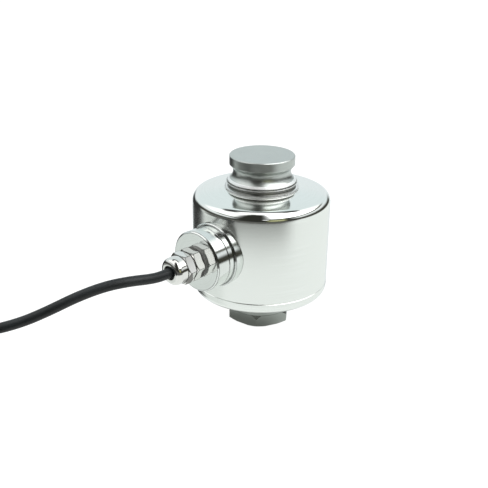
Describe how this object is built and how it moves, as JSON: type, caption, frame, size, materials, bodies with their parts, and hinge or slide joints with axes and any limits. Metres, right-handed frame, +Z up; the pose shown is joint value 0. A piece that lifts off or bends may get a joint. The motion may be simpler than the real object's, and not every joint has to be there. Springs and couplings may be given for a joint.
{
  "type": "column load cell",
  "caption": "Welded column load cell: turned steel head on a round can, a hexagonal foot, a side outlet with a gland and a coiled cable.",
  "frame": {"origin": "centre of the flat face under the hexagonal foot, on which the cell stands", "axes": "+Z up through the column to the load head; the outlet and its gland point along -Y; the free cable lies towards -X and -Y"},
  "size_m": [0.1471, 0.3715, 0.127],
  "materials": {
    "column_steel": "satin",
    "can_steel": "polished",
    "header_steel": "satin",
    "o_ring": "matte",
    "header_glass": "gloss",
    "gold_pin": "polished",
    "gauge_foil": "satin",
    "solder_pad": "satin",
    "resistor": "gloss",
    "core_red": "satin",
    "core_black": "satin",
    "core_green": "satin",
    "core_white": "satin",
    "drain_wire": "satin",
    "gland_nickel": "polished",
    "gland_washer": "matte",
    "gland_clamp": "matte",
    "gland_seal": "matte",
    "board": "gloss",
    "standoff": "satin",
    "screw_steel": "polished",
    "cable_jacket": "matte",
    "end_sleeve": "satin"
  },
  "bodies": {
    "root": {"board_screws": "screw_steel", "board_standoffs": "standoff", "bottom_cover": "can_steel", "bridge_lead_1": "core_red", "bridge_lead_2": "core_black", "bridge_lead_3": "core_green", "bridge_lead_4": "core_white", "cable_coil": "cable_jacket", "cable_core_1": "core_red", "cable_core_2": "core_black", "cable_core_3": "core_green", "cable_core_4": "core_white", "cable_entry": "cable_jacket", "cable_run": "cable_jacket", "cap_o_ring": "o_ring", "end_core_black": "core_black", "end_core_green": "core_green", "end_core_red": "core_red", "end_core_shield": "drain_wire", "end_core_white": "core_white", "end_sleeve": "end_sleeve", "feedthrough_glass_1": "header_glass", "feedthrough_glass_2": "header_glass", "feedthrough_glass_3": "header_glass", "feedthrough_glass_4": "header_glass", "feedthrough_pin_1": "gold_pin", "feedthrough_pin_2": "gold_pin", "feedthrough_pin_3": "gold_pin", "feedthrough_pin_4": "gold_pin", "feedthrough_plate": "header_steel", "gauge_lead_1": "core_red", "gauge_lead_2": "core_black", "gauge_lead_3": "core_green", "gauge_lead_4": "core_white", "gland_body": "gland_nickel", "gland_clamp": "gland_clamp", "gland_nut": "gland_nickel", "gland_seal": "gland_seal", "gland_washer": "gland_washer", "housing_can": "can_steel", "load_column": "column_steel", "outlet_cap": "can_steel", "outlet_socket": "can_steel", "ring_board": "board", "solder_terminal_1": "solder_pad", "solder_terminal_2": "solder_pad", "solder_terminal_3": "solder_pad", "solder_terminal_4": "solder_pad", "strain_gauge_1": "gauge_foil", "strain_gauge_2": "gauge_foil", "strain_gauge_3": "gauge_foil", "strain_gauge_4": "gauge_foil", "trim_resistor_1": "resistor", "trim_resistor_2": "resistor", "trim_resistor_3": "resistor", "trim_resistor_4": "resistor"}
  },
  "joints": []
}
